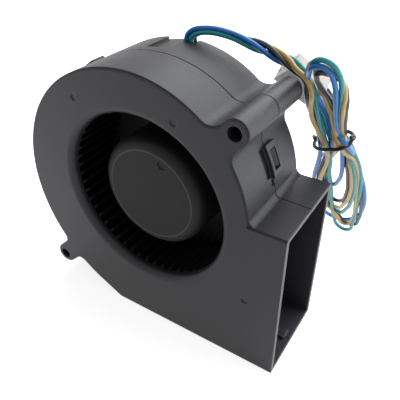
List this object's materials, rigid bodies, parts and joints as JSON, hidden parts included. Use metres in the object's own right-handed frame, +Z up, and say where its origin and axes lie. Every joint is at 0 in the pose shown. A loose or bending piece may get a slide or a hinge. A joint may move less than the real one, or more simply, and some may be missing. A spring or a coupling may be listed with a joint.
{
  "type": "dc blower fan",
  "caption": "Centrifugal dc blower: black scroll housing in two snapped shells, round inlet, side outlet duct, forward-curved impeller and a tied four-wire lead with plug.",
  "frame": {"origin": "on the flat foot, under the middle of the housing's width and depth", "axes": "+X out of the outlet, +Y from the inlet to the back wall, +Z up from the flat foot"},
  "size_m": [0.1047, 0.0894, 0.1012],
  "materials": {
    "housing": "fine matte texture",
    "impeller": "satin",
    "steel": "brushed",
    "magnet": "matte",
    "brass": "satin",
    "laminations": "satin",
    "nylon": "satin",
    "copper": "enamelled",
    "board": "satin",
    "chip": "matte",
    "ceramic": "matte",
    "wire_blue": "satin",
    "wire_green": "satin",
    "wire_yellow": "satin",
    "wire_black": "satin",
    "lead": "satin",
    "plug": "satin",
    "tin": "bright"
  },
  "bodies": {
    "housing": {"front_shell": "housing", "back_shell": "housing", "bearing_tube": "brass", "front_bearing_outer": "steel", "rear_bearing_outer": "steel", "stator_core": "laminations", "front_insulator": "nylon", "rear_insulator": "nylon", "coil_1": "copper", "coil_2": "copper", "coil_3": "copper", "coil_4": "copper", "coil_5": "copper", "coil_6": "copper", "circuit_board": "board", "driver_chip": "chip", "hall_sensor": "chip", "capacitor": "ceramic", "wire_end_blue": "wire_blue", "wire_end_green": "wire_green", "wire_end_yellow": "wire_yellow", "wire_end_black": "wire_black", "lead_run": "lead", "lead_hank": "lead", "twist_tie": "wire_black", "plug_housing": "plug", "contact_1": "tin", "contact_2": "tin", "contact_3": "tin", "contact_4": "tin"},
    "rotor": {"impeller": "impeller", "blade_ring": "impeller", "rotor_cup": "steel", "magnet_ring": "magnet", "shaft": "steel", "shaft_bush": "brass", "preload_washer": "steel", "retaining_clip": "steel", "front_bearing_inner": "steel", "rear_bearing_inner": "steel"}
  },
  "joints": [
    {"name": "rotor_spin", "type": "hinge", "parent": "housing", "child": "rotor", "pos_m": [0, 0, 0.052], "axis": [0, -1, 0], "continuous": true}
  ]
}
